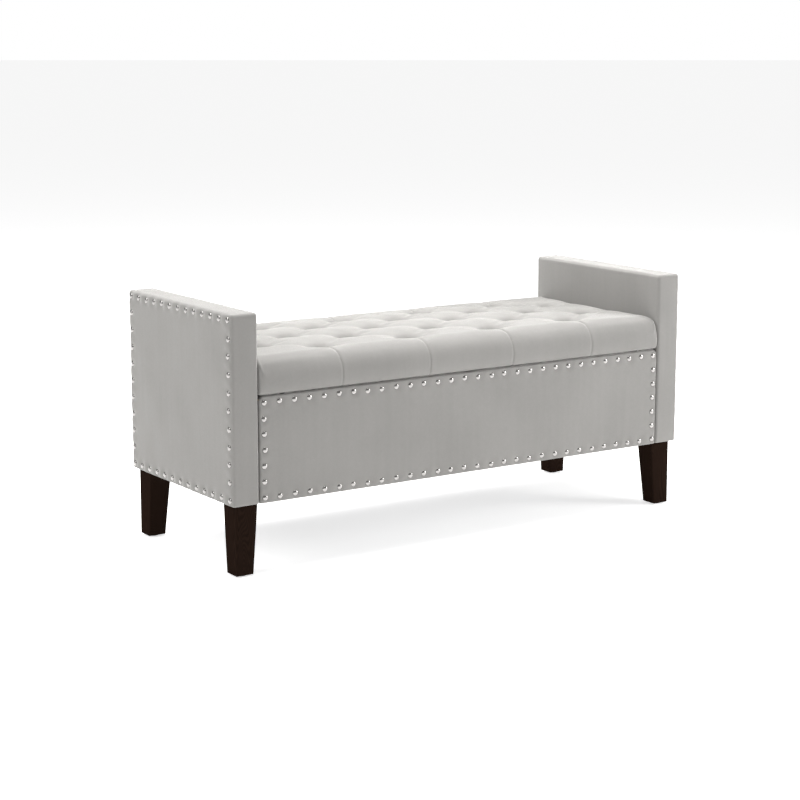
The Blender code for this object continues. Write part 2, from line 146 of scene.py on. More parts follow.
def new_group(name: str, inputs: dict[str, object], outputs: dict[str, str]) -> tuple:
    """Start a node group with named sockets.

    Args:
        name: The group's name.
        inputs: Each input's name with its default, a number for a value and None for a vector.
        outputs: Each output's name with its socket type.

    Returns:
        The group, its input node and its output node.
    """
    group = bpy.data.node_groups.new(name, "ShaderNodeTree")
    for label, default in inputs.items():
        kind = "NodeSocketVector" if default is None else "NodeSocketFloat"
        socket = group.interface.new_socket(name=label, in_out="INPUT", socket_type=kind)
        if default is not None:
            socket.default_value = default
    for label, kind in outputs.items():
        group.interface.new_socket(name=label, in_out="OUTPUT", socket_type=kind)
    return group, group.nodes.new("NodeGroupInput"), group.nodes.new("NodeGroupOutput")


def maths(tree: bpy.types.NodeTree, operation: str, first: object, second: object = 0.0) -> Socket:
    """Combine two values in a Math node and return its output."""
    return add_node(tree, "ShaderNodeMath", {0: first, 1: second}, operation=operation).outputs[0]


def noise(tree: bpy.types.NodeTree, vector: Socket, scale: object, detail: float = 2.0) -> Socket:
    """Add a noise texture on a vector and return its value."""
    inputs = {"Vector": vector, "Scale": scale, "Detail": detail}
    return add_node(tree, "ShaderNodeTexNoise", inputs).outputs["Fac"]


def stretched(tree: bpy.types.NodeTree, vector: Socket, scale: Colour) -> Socket:
    """Scale a vector along each axis, for a pattern that runs one way."""
    return add_node(tree, "ShaderNodeMapping", {"Vector": vector, "Scale": scale}).outputs[0]


def make_nap_group() -> bpy.types.NodeTree:
    """Build the pile of a brushed cloth.

    Returns:
        A group that turns a position into Shade, the brushed light and dark, and Height, the pile.
    """
    group, start, end = new_group(
        "cloth_nap",
        {"Vector": None, "Cloud Scale": 5.0, "Streak": 0.35, "Pile Scale": 1400.0},
        {"Shade": "NodeSocketFloat", "Height": "NodeSocketFloat"},
    )
    vector = start.outputs["Vector"]
    clouds = noise(group, vector, start.outputs["Cloud Scale"], 3.0)
    streaks = noise(group, stretched(group, vector, (70.0, 70.0, 5.0)), 1.0, 3.0)
    grain = noise(group, vector, start.outputs["Pile Scale"], 1.0)
    mottle = noise(group, vector, 160.0, 2.0)
    streak_part = maths(group, "MULTIPLY", maths(group, "SUBTRACT", streaks, 0.5), start.outputs["Streak"])
    mottle_part = maths(group, "MULTIPLY", maths(group, "SUBTRACT", mottle, 0.5), 0.3)
    grain_part = maths(group, "MULTIPLY", maths(group, "SUBTRACT", grain, 0.5), 0.5)
    shade = maths(group, "ADD", maths(group, "ADD", clouds, streak_part), mottle_part)
    shade = maths(group, "ADD", shade, grain_part)
    group.links.new(shade, end.inputs["Shade"])
    height = maths(group, "ADD", maths(group, "MULTIPLY", mottle, 0.4), grain)
    group.links.new(height, end.inputs["Height"])
    return group


def make_grain_group() -> bpy.types.NodeTree:
    """Build the grain of sawn wood.

    Returns:
        A group that turns a position, whose Z runs along the grain, into Figure and Pores.
    """
    group, start, end = new_group(
        "wood_grain",
        {"Vector": None, "Ring Scale": 60.0, "Wander": 0.6},
        {"Figure": "NodeSocketFloat", "Pores": "NodeSocketFloat"},
    )
    vector = start.outputs["Vector"]
    along = stretched(group, vector, (1.0, 1.0, 0.09))
    wander = noise(group, along, 9.0, 2.0)
    shift = maths(group, "MULTIPLY", wander, start.outputs["Wander"])
    spread = add_node(group, "ShaderNodeVectorMath", {0: along, 1: shift}, operation="ADD").outputs[0]
    rings = add_node(
        group,
        "ShaderNodeTexWave",
        {"Vector": spread, "Scale": start.outputs["Ring Scale"], "Distortion": 3.0, "Detail": 2.0},
        wave_type="BANDS",
        bands_direction="DIAGONAL",
    ).outputs["Fac"]
    pores = noise(group, stretched(group, vector, (900.0, 900.0, 28.0)), 1.0, 3.0)
    group.links.new(rings, end.inputs["Figure"])
    group.links.new(pores, end.inputs["Pores"])
    return group


def make_scuff_group() -> bpy.types.NodeTree:
    """Build the handling marks of a hard surface.

    Returns:
        A group that turns a position into Scuff, a sparse mask, and Grain, fine lines along Z.
    """
    group, start, end = new_group(
        "scuffs",
        {"Vector": None, "Scale": 90.0},
        {"Scuff": "NodeSocketFloat", "Grain": "NodeSocketFloat"},
    )
    vector = start.outputs["Vector"]
    blotch = noise(group, vector, start.outputs["Scale"], 4.0)
    mask = maths(group, "MULTIPLY", maths(group, "SUBTRACT", blotch, 0.55), 4.0)
    limited = add_node(group, "ShaderNodeClamp", {"Value": mask}).outputs[0]
    lines = noise(group, stretched(group, vector, (1500.0, 1500.0, 30.0)), 1.0, 1.0)
    group.links.new(limited, end.inputs["Scuff"])
    group.links.new(lines, end.inputs["Grain"])
    return group


@dataclass
class Workshop:
    """The shared node groups, built once."""

    nap: bpy.types.NodeTree = field(default_factory=make_nap_group)
    grain: bpy.types.NodeTree = field(default_factory=make_grain_group)
    scuff: bpy.types.NodeTree = field(default_factory=make_scuff_group)


def start_material(name: str) -> tuple[bpy.types.Material, bpy.types.Node, Socket]:
    """Make a Principled material.

    Args:
        name: The material's name.

    Returns:
        The material, its shader and the object's own coordinates.
    """
    material = bpy.data.materials.new(name)
    material.use_nodes = True
    tree = material.node_tree
    place = tree.nodes.new("ShaderNodeTexCoord").outputs["Object"]
    return material, tree.nodes["Principled BSDF"], place


def use_group(tree: bpy.types.NodeTree, group: bpy.types.NodeTree, inputs: dict) -> bpy.types.Node:
    """Place a shared node group in a material's tree with its own values."""
    node = tree.nodes.new("ShaderNodeGroup")
    node.node_tree = group
    for name, value in inputs.items():
        if isinstance(value, bpy.types.NodeSocket):
            tree.links.new(value, node.inputs[name])
        else:
            node.inputs[name].default_value = value
    return node


def blend_colours(tree: bpy.types.NodeTree, share: Socket, low: Colour, high: Colour) -> Socket:
    """Mix two colours by a value and return the colour."""
    ramp = add_node(tree, "ShaderNodeValToRGB", {"Fac": share})
    ramp.color_ramp.elements[0].color = (*low, 1.0)
    ramp.color_ramp.elements[1].color = (*high, 1.0)
    return ramp.outputs["Color"]


def remap(tree: bpy.types.NodeTree, value: Socket, low: float, high: float) -> Socket:
    """Map a value from 0..1 to low..high."""
    inputs = {"Value": value, "To Min": low, "To Max": high}
    return add_node(tree, "ShaderNodeMapRange", inputs).outputs["Result"]


def add_bump(tree: bpy.types.NodeTree, shader: bpy.types.Node, height: Socket, depth: float) -> None:
    """Feed a height through a Bump node into the shader's normal."""
    inputs = {"Height": height, "Distance": depth, "Strength": 1.0}
    tree.links.new(add_node(tree, "ShaderNodeBump", inputs).outputs["Normal"], shader.inputs["Normal"])


@dataclass(frozen=True)
class VelvetFinish:
    """A short pile that is darker face on and paler where it is seen from the side."""

    name: str
    deep: Colour
    pale: Colour
    sheen: float
    pile: float = 0.00012

    def build(self, shop: Workshop) -> bpy.types.Material:
        """Make the material from the shared nap."""
        material, shader, place = start_material(self.name)
        tree = material.node_tree
        nap = use_group(tree, shop.nap, {"Vector": place})
        colour = blend_colours(tree, nap.outputs["Shade"], self.deep, self.pale)
        tree.links.new(colour, shader.inputs["Base Color"])
        tree.links.new(remap(tree, nap.outputs["Shade"], 0.95, 0.78), shader.inputs["Roughness"])
        shader.inputs["Sheen Weight"].default_value = self.sheen
        shader.inputs["Sheen Roughness"].default_value = 0.3
        shader.inputs["Sheen Tint"].default_value = (1.0, 0.985, 0.96, 1.0)
        shader.inputs["Specular IOR Level"].default_value = 0.25
        add_bump(tree, shader, nap.outputs["Height"], self.pile)
        return material


@dataclass(frozen=True)
class ClothFinish:
    """A pressed fibre cloth, as used for linings and dust covers."""

    name: str
    dark: Colour
    light: Colour
    pile: float = 0.00015

    def build(self, shop: Workshop) -> bpy.types.Material:
        """Make the material: matted fibres with the dimples of a bonding roller."""
        material, shader, place = start_material(self.name)
        tree = material.node_tree
        nap = use_group(tree, shop.nap, {"Vector": place, "Cloud Scale": 14.0, "Pile Scale": 700.0})
        cells = add_node(tree, "ShaderNodeTexVoronoi", {"Vector": place, "Scale": 420.0})
        dimples = remap(tree, cells.outputs["Distance"], 0.6, 1.2)
        mixed = maths(tree, "MULTIPLY", nap.outputs["Shade"], dimples)
        colour = blend_colours(tree, mixed, self.dark, self.light)
        tree.links.new(colour, shader.inputs["Base Color"])
        tree.links.new(remap(tree, mixed, 0.98, 0.85), shader.inputs["Roughness"])
        shader.inputs["Sheen Weight"].default_value = 0.2
        relief = maths(tree, "ADD", nap.outputs["Height"], cells.outputs["Distance"])
        add_bump(tree, shader, relief, self.pile)
        return material


@dataclass(frozen=True)
class WoodFinish:
    """Sawn or stained wood with its grain along one axis."""

    name: str
    dark: Colour
    light: Colour
    roughness: tuple[float, float]
    turn: tuple[float, float, float] = (0.0, 0.0, 0.0)
    ring_scale: float = 60.0
    shine: float = 0.25

    def build(self, shop: Workshop) -> bpy.types.Material:
        """Make the material from the shared grain."""
        material, shader, place = start_material(self.name)
        tree = material.node_tree
        turned = add_node(tree, "ShaderNodeMapping", {"Vector": place, "Rotation": self.turn}).outputs[0]
        grain = use_group(tree, shop.grain, {"Vector": turned, "Ring Scale": self.ring_scale})
        pores = grain.outputs["Pores"]
        figure = maths(tree, "MULTIPLY", grain.outputs["Figure"], 0.55)
        share = maths(tree, "ADD", figure, maths(tree, "MULTIPLY", pores, 0.5))
        tree.links.new(blend_colours(tree, share, self.dark, self.light), shader.inputs["Base Color"])
        tree.links.new(remap(tree, pores, *self.roughness), shader.inputs["Roughness"])
        shader.inputs["Specular IOR Level"].default_value = self.shine
        add_bump(tree, shader, pores, 0.00008)
        return material


@dataclass(frozen=True)
class HardFinish:
    """Metal, rubber or plastic with light handling marks."""

    name: str
    base: Colour
    worn: Colour
    roughness: tuple[float, float]
    metallic: float = 0.0
    relief: float = 0.00002

    def build(self, shop: Workshop) -> bpy.types.Material:
        """Make the material from the shared scuffs."""
        material, shader, place = start_material(self.name)
        tree = material.node_tree
        marks = use_group(tree, shop.scuff, {"Vector": place})
        share = maths(tree, "MULTIPLY", marks.outputs["Scuff"], marks.outputs["Grain"])
        tree.links.new(blend_colours(tree, share, self.base, self.worn), shader.inputs["Base Color"])
        rough = remap(tree, marks.outputs["Scuff"], *self.roughness)
        tree.links.new(rough, shader.inputs["Roughness"])
        shader.inputs["Metallic"].default_value = self.metallic
        add_bump(tree, shader, marks.outputs["Grain"], self.relief)
        return material


FINISHES = {
    Slot.VELVET: VelvetFinish("dove_velvet", (0.202, 0.197, 0.188), (0.254, 0.247, 0.236), 0.9),
    Slot.LINING: ClothFinish("charcoal_lining", (0.012, 0.012, 0.013), (0.05, 0.05, 0.053)),
    Slot.PLYWOOD: WoodFinish(
        "birch_plywood", (0.42, 0.29, 0.17), (0.66, 0.52, 0.35), (0.6, 0.75), (0.0, 1.5708, 0.0)
    ),
    Slot.PINE: WoodFinish(
        "pine_batten", (0.50, 0.33, 0.17), (0.74, 0.57, 0.36), (0.6, 0.8), (0.0, 1.5708, 0.0), 90.0
    ),
    Slot.ESPRESSO: WoodFinish(
        "espresso_stain", (0.0075, 0.0044, 0.0034), (0.0185, 0.0108, 0.0078), (0.6, 0.72), shine=0.0
    ),
    Slot.NAIL: HardFinish("nail_silver", (0.34, 0.33, 0.32), (0.25, 0.24, 0.23), (0.22, 0.32), 1.0),
    Slot.ZINC: HardFinish("zinc_plate", (0.62, 0.62, 0.60), (0.42, 0.41, 0.39), (0.32, 0.5), 1.0),
    Slot.STRUT: HardFinish("strut_enamel", (0.014, 0.014, 0.015), (0.05, 0.05, 0.05), (0.32, 0.5)),
    Slot.ROD: HardFinish("rod_chrome", (0.83, 0.83, 0.83), (0.7, 0.7, 0.7), (0.08, 0.2), 1.0),
    Slot.RUBBER: HardFinish("bumper_rubber", (0.03, 0.03, 0.03), (0.07, 0.07, 0.07), (0.7, 0.85)),
    Slot.NYLON: HardFinish("glide_nylon", (0.08, 0.08, 0.08), (0.15, 0.15, 0.15), (0.45, 0.6)),
}


# ---------------------------------------------------------------------------
# Meshes
# ---------------------------------------------------------------------------


def spread_evenly(low: float, high: float, step: float) -> list[float]:
    """Places from low to high, both counted, no further apart than the step."""
    count = max(1, math.ceil((high - low) / step - 1e-9))
    return [low + (high - low) * index / count for index in range(count + 1)]


def edge_stations(low: float, high: float, radius: float, step: float, rounds: int = 4) -> Array:
    """Places along a side with rounded ends, closer together in the rounds.

    Args:
        low: Where the side starts.
        high: Where it ends.
        radius: The radius of the rounds.
        step: The widest spacing between the rounds.
        rounds: How many steps each half round has.

    Returns:
        The places in order.
    """
    turns = [radius * (1 - math.tan(math.pi / 4 * (1 - k / rounds))) for k in range(rounds)]
    middle = spread_evenly(low + radius, high - radius, step)
    ends = [high - turn for turn in reversed(turns)]
    return np.array([low + turn for turn in turns] + middle + ends)


def lattice(xs: Array, ys: Array, zs: Array) -> tuple[Array, Array]:
    """The closed surface of a block, as a grid of quads through the given places.

    Args:
        xs: Places along X.
        ys: Places along Y.
        zs: Places along Z.

    Returns:
        The points and the quads, each quad facing out.
    """
    shape = (len(xs), len(ys), len(zs))
    outside = np.ones(shape, bool)
    outside[1:-1, 1:-1, 1:-1] = False
    number = np.full(shape, -1)
    number[outside] = np.arange(outside.sum())
    i, j, k = np.nonzero(outside)
    points = np.stack([xs[i], ys[j], zs[k]], axis=1)
    quads = []
    for axis in range(3):
        for end in (0, -1):
            sheet = np.take(number, end, axis=axis)
            quad = np.stack([sheet[:-1, :-1], sheet[1:, :-1], sheet[1:, 1:], sheet[:-1, 1:]], axis=-1)
            quad = quad.reshape(-1, 4)
            quads.append(quad if (end == -1) == (axis != 1) else quad[:, ::-1])
    return points, np.concatenate(quads)


def round_block(points: Array, low: Array, high: Array, radius: float) -> tuple[Array, Array]:
    """Round a block's edges.

    Args:
        points: Points on the block's surface.
        low: The block's lowest corner.
        high: Its highest corner.
        radius: The radius of the edges.

    Returns:
        The points on the rounded block and the directions that they face.
    """
    core = np.clip(points, low + radius, high - radius)
    out = points - core
    out /= np.maximum(np.linalg.norm(out, axis=1, keepdims=True), 1e-12)
    return core + out * radius, out


def mesh_object(
    name: str, points: Iterable, faces: Iterable, material: bpy.types.Material
) -> bpy.types.Object:
    """Make a smooth-shaded mesh object from points and faces."""
    mesh = bpy.data.meshes.new(name)
    mesh.from_pydata([tuple(point) for point in points], [], [tuple(face) for face in faces])
    mesh.materials.append(material)
    mesh.shade_smooth()
    piece = bpy.data.objects.new(name, mesh)
    bpy.context.scene.collection.objects.link(piece)
    return piece


@dataclass
class Solid:
    """Points and faces that grow as shapes are added to them."""

    points: list = field(default_factory=list)
    faces: list = field(default_factory=list)

    def add(self, points: Iterable, faces: Iterable, place: Matrix | None = None) -> None:
        """Add a shape.

        Args:
            points: The shape's points.
            faces: Its faces, as indexes into those points.
            place: Where it goes.
        """
        start = len(self.points)
        for point in points:
            self.points.append(tuple(place @ Vector(point)) if place else tuple(point))
        self.faces.extend([start + int(index) for index in face] for face in faces)

    def block(self, low: Sequence[float], high: Sequence[float], radius: float, rounds: int = 2) -> None:
        """Add a block with rounded edges between two corners."""
        low, high = np.minimum(low, high), np.maximum(low, high)
        stations = [edge_stations(low[a], high[a], radius, 1.0, rounds) for a in range(3)]
        points, quads = lattice(*stations)
        self.add(round_block(points, low, high, radius)[0], quads)

    def turn(self, profile: Sequence[tuple[float, float]], place: Matrix, sides: int = 32) -> None:
        """Add a turned shape about Z.

        Args:
            profile: Radius and height of each ring, from the top down the outside. An end on the
                axis closes the shape.
            place: Where it goes.
            sides: How many sides it has.
        """
        angles = [2 * math.pi * index / sides for index in range(sides)]
        points, rings = [], []
        for radius, height in profile:
            if radius < 1e-9:
                rings.append([len(points)] * sides)
                points.append((0.0, 0.0, height))
                continue
            rings.append(list(range(len(points), len(points) + sides)))
            points.extend((radius * math.cos(a), radius * math.sin(a), height) for a in angles)
        faces = []
        for upper, lower in zip(rings, rings[1:]):
            for index in range(sides):
                after = (index + 1) % sides
                corners = [upper[index], lower[index], lower[after], upper[after]]
                faces.append(list(dict.fromkeys(corners)))
        self.add(points, faces, place)

    def build(self, name: str, material: bpy.types.Material) -> bpy.types.Object:
        """Make the object."""
        piece = mesh_object(name, self.points, self.faces, material)
        piece.data.set_sharp_from_angle(angle=math.radians(42))
        return piece


def facing(direction: Sequence[float], at: Sequence[float]) -> Matrix:
    """The placement that turns +Z to a direction and moves the origin to a point."""
    turn = Vector((0.0, 0.0, 1.0)).rotation_difference(Vector(direction)).to_matrix().to_4x4()
    return Matrix.Translation(at) @ turn


def refine(piece: bpy.types.Object) -> None:
    """Subdivide a piece once, smoothly, and keep the result as its mesh."""
    modifier = piece.modifiers.new("Refine", "SUBSURF")
    modifier.levels = modifier.render_levels = 1
    graph = bpy.context.evaluated_depsgraph_get()
    mesh = bpy.data.meshes.new_from_object(piece.evaluated_get(graph))
    piece.modifiers.clear()
    piece.data = mesh
    mesh.shade_smooth()


def close_openings(piece: bpy.types.Object) -> None:
    """Close each opening in a piece with one flat face."""
    shape = bmesh.new()
    shape.from_mesh(piece.data)
    bmesh.ops.holes_fill(shape, edges=[edge for edge in shape.edges if edge.is_boundary], sides=0)
    shape.to_mesh(piece.data)
    shape.free()


def bell(distance: Array, width: float) -> Array:
    """A smooth bump: 1 at no distance, falling away over the width."""
    return np.exp(-((distance / width) ** 2))


@dataclass
class Assembly:
    """What every sub-assembly shares: its finishes and how its pieces join the frame."""

    finishes: dict[Slot, bpy.types.Material]

    def place(self, piece: bpy.types.Object, body: str, slot: Slot, *nodes: str) -> bpy.types.Object:
        """Let a piece ride on a body and stand for the frame's nodes.

        Args:
            piece: The finished piece.
            body: The body's name.
            slot: The record's slot; not used.
            nodes: The nodes that it stands for.

        Returns:
            The piece.
        """
        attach(piece, body.value if isinstance(body, Body) else body)
        if nodes:
            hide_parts(*nodes)
        LOG.info("%s: %d faces", piece.name, len(piece.data.polygons))
        return piece


# ---------------------------------------------------------------------------
# Nail heads
# ---------------------------------------------------------------------------


@dataclass
class NailRun:
    """Domed nail heads round the edge of one face, found from the frame's band of nails."""

    node: str
    axis: int
    outward: int
    radius: float = 0.0065
    pitch: float = 0.0362
    wander: float = 0.0012
    tilt: float = 0.06
    sunk: float = 0.0006
    skirt: tuple[float, float] = (0.0014, 0.0017)
    seed: int = 3

    def spots(self) -> list[tuple[float, float]]:
        """Where the nails go, as places along the face's two axes."""
        low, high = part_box(self.node)
        first, second = [axis for axis in range(3) if axis != self.axis]
        lines = []
        for axis in (first, second):
            start, end = low[axis] + self.radius, high[axis] - self.radius
            steps = max(1, round((end - start) / self.pitch))
            lines.append([start + (end - start) * index / steps for index in range(steps + 1)])
        across, up = lines
        spots = [(a, b) for a in across for b in (up[0], up[-1])]
        return spots + [(a, b) for a in (across[0], across[-1]) for b in up[1:-1]]

    def face(self) -> float:
        """Where the covered face lies along the axis that the nails point along."""
        low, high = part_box(self.node)
        return high[self.axis] if self.outward < 0 else low[self.axis]

    def build(self, name: str, material: bpy.types.Material, height: float) -> bpy.types.Object:
        """Make every nail head of the run as one piece.

        Args:
            name: The piece's name.
            material: The finish.
            height: How far the heads stand out of the cover.

        Returns:
            The piece.
        """
        rng = random.Random(self.seed)
        steps = 6
        dome = [
            (self.radius * math.sin(turn), height * math.cos(turn))
            for turn in (math.pi / 2 * k / steps for k in range(steps + 1))
        ]
        rim, under = self.skirt
        profile = dome + [(self.radius * 0.97, -rim), (self.radius * 0.5, -under), (0.0, -under)]
        heads = Solid()
        for spot in self.spots():
            centre = [a + rng.uniform(-self.wander, self.wander) for a in spot]
            centre.insert(self.axis, self.face() - self.outward * self.sunk)
            direction = [rng.uniform(-self.tilt, self.tilt) for _ in range(3)]
            direction[self.axis] = float(self.outward)
            heads.turn(profile, facing(direction, centre), 20)
        return heads.build(name, material)


# ---------------------------------------------------------------------------
# Covers
# ---------------------------------------------------------------------------


@dataclass
class PaddedSlab:
    """A slab wrapped in batting and velvet, drawn in by the nails in one of its faces.

    The plumped faces are the ones with batting, each as its axis and direction.
    """

    low: Array
    high: Array
    radius: float
    step: float = 0.004
    plump: float = 0.0022
    shoulder: float = 0.0
    hem: float = 0.4
    nails: NailRun | None = None
    pull: float = 0.0015
    pull_width: float = 0.0085
    puff: float = 0.0013
    seed: float = 0.0
    plumped: tuple[tuple[int, int], ...] = ()
    full_width: float = 0.1
    wander: float = 0.0003
    scallop_width: float = 0.012

    def soften(self, points: Array, out: Array) -> Array:
        """Plump the faces and let the cloth wander a little.

        Args:
            points: Points on the rounded slab.
            out: The directions that they face.

        Returns:
            How far each point moves along its direction.
        """
        middle, half = (self.low + self.high) / 2, (self.high - self.low) / 2
        share = np.clip(np.abs(points - middle) / half, 0.0, 1.0)
        x, y, z = (points + self.seed).T
        waves = np.sin(31 * x + 11 * y + 2) * np.sin(23 * z + 17 * y) + np.sin(57 * y - 29 * z) * 0.5
        moved = np.zeros(len(points))
        for axis, outward in self.plumped:
            first, second = [other for other in range(3) if other != axis]
            full = (1 - share[:, first] ** 4) * (1 - share[:, second] ** 4)
            width = min(half[first], half[second])
            facing_out = np.clip(out[:, axis] * outward, 0.0, 1.0) ** 2
            batting = self.plump * min(1.0, width / self.full_width) * full
            moved += (batting + self.wander * waves) * facing_out
        return moved

    def draw_in(self, points: Array, out: Array) -> Array:
        """The pull of each nail, and the puff of cloth between neighbours.

        Args:
            points: Points on the rounded slab.
            out: The directions that they face.

        Returns:
            How far each point moves along its direction.
        """
        run = self.nails
        first, second = [axis for axis in range(3) if axis != run.axis]
        plane = points[:, [first, second]]
        spots = np.array(run.spots())
        facing_out = np.clip(out[:, run.axis] * run.outward, 0.0, 1.0)
        moved = np.zeros(len(points))
        for spot in spots:
            distance = np.linalg.norm(plane - spot, axis=1)
            moved -= self.pull * bell(distance, self.pull_width)
        low, high = spots.min(axis=0), spots.max(axis=0)
        for axis, other in ((0, 1), (1, 0)):
            steps = max(1, round((high[axis] - low[axis]) / run.pitch))
            turn = (plane[:, axis] - low[axis]) / (high[axis] - low[axis]) * steps
            scallop = 0.5 - 0.5 * np.cos(2 * math.pi * turn)
            within = (plane[:, axis] > low[axis]) & (plane[:, axis] < high[axis])
            for line in (low[other], high[other]):
                near = bell(plane[:, other] - line, self.scallop_width)
                moved += self.puff * scallop**1.5 * near * within
        return moved * facing_out**2

    def build(self, name: str, material: bpy.types.Material) -> bpy.types.Object:
        """Make the slab."""
        stations = [
            edge_stations(self.low[axis], self.high[axis], self.radius, self.step)
            for axis in range(3)
        ]
        points, quads = lattice(*stations)
        points, out = round_block(points, self.low, self.high, self.radius)
        moved = self.soften(points, out)
        if self.nails:
            moved += self.draw_in(points, out)
        points = points + out * moved[:, None]
        above = points[:, 2] - self.low[2]
        points[:, 2] = np.where(above < self.radius, self.low[2] + above * self.hem, points[:, 2])
        return mesh_object(name, self.round_shoulders(points), quads, material)

    def round_shoulders(self, points: Array) -> Array:
        """Round the slab's two upper corners, as seen from the front."""
        if not self.shoulder:
            return points
        middle, half = (self.low[0] + self.high[0]) / 2, (self.high[0] - self.low[0]) / 2
        side = np.sign(points[:, 0] - middle)
        over = np.stack(
            [
                np.maximum(np.abs(points[:, 0] - middle) - half + self.shoulder, 0.0),
                np.maximum(points[:, 2] - self.high[2] + self.shoulder, 0.0),
            ],
            axis=1,
        )
        length = np.maximum(np.linalg.norm(over, axis=1), 1e-9)
        loss = over * (1 - over.max(axis=1) / length)[:, None]
        return points - np.stack([side * loss[:, 0], np.zeros(len(points)), loss[:, 1]], axis=1)


@dataclass
class Arm(Assembly):
    """One arm: its padded cover and the nails in its outer face."""

    side: Side
    radius: float = 0.007
    nail_height: float = 0.0030

    def build(self) -> None:
        """Build and place the arm's pieces."""
        word = self.side.word
        low, high = (np.array(corner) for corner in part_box(f"{word}_arm_cover"))
        run = NailRun(f"{word}_nails", 0, self.side.value, seed=11 + self.side.value)
        plumped = ((0, self.side.value), (1, -1), (1, 1), (2, 1))
        slab = PaddedSlab(low, high, self.radius, nails=run, seed=3.0 * self.side.value, plumped=plumped)
        cover = slab.build(f"{word}_arm_velvet", self.finishes[Slot.VELVET])
        self.place(cover, Body.CARCASS, Slot.VELVET, f"{word}_arm_cover")
        heads = run.build(f"{word}_nail_heads", self.finishes[Slot.NAIL], self.nail_height)
        self.place(heads, Body.CARCASS, Slot.NAIL, f"{word}_nails")


@dataclass
class Panels(Assembly):
    """The front and back panels' covers and the front panel's nails."""

    radius: float = 0.005
    rise: float = 0.0011
    side_gap: float = 0.0012
    shoulder: float = 0.011
    nail_height: float = 0.0030

    def build(self) -> None:
        """Build and place the panels' pieces."""
        run = NailRun("front_nails", 1, -1, seed=29)
        for word, nails, rise, out in (("front", run, self.rise, -1), ("back", None, 0.0, 1)):
            low, high = (np.array(corner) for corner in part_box(f"{word}_cover"))
            low += (self.side_gap, 0.0, 0.0)
            high += (-self.side_gap, 0.0, rise)
            slab = PaddedSlab(
                low, high, self.radius, nails=nails, shoulder=self.shoulder, plumped=((1, out),)
            )
            cover = slab.build(f"{word}_panel_velvet", self.finishes[Slot.VELVET])
            self.place(cover, Body.CARCASS, Slot.VELVET, f"{word}_cover")
        heads = run.build("front_nail_heads", self.finishes[Slot.NAIL], self.nail_height)
        self.place(heads, Body.CARCASS, Slot.NAIL, "front_nails")


# ---------------------------------------------------------------------------
# The tufted seat
# ---------------------------------------------------------------------------


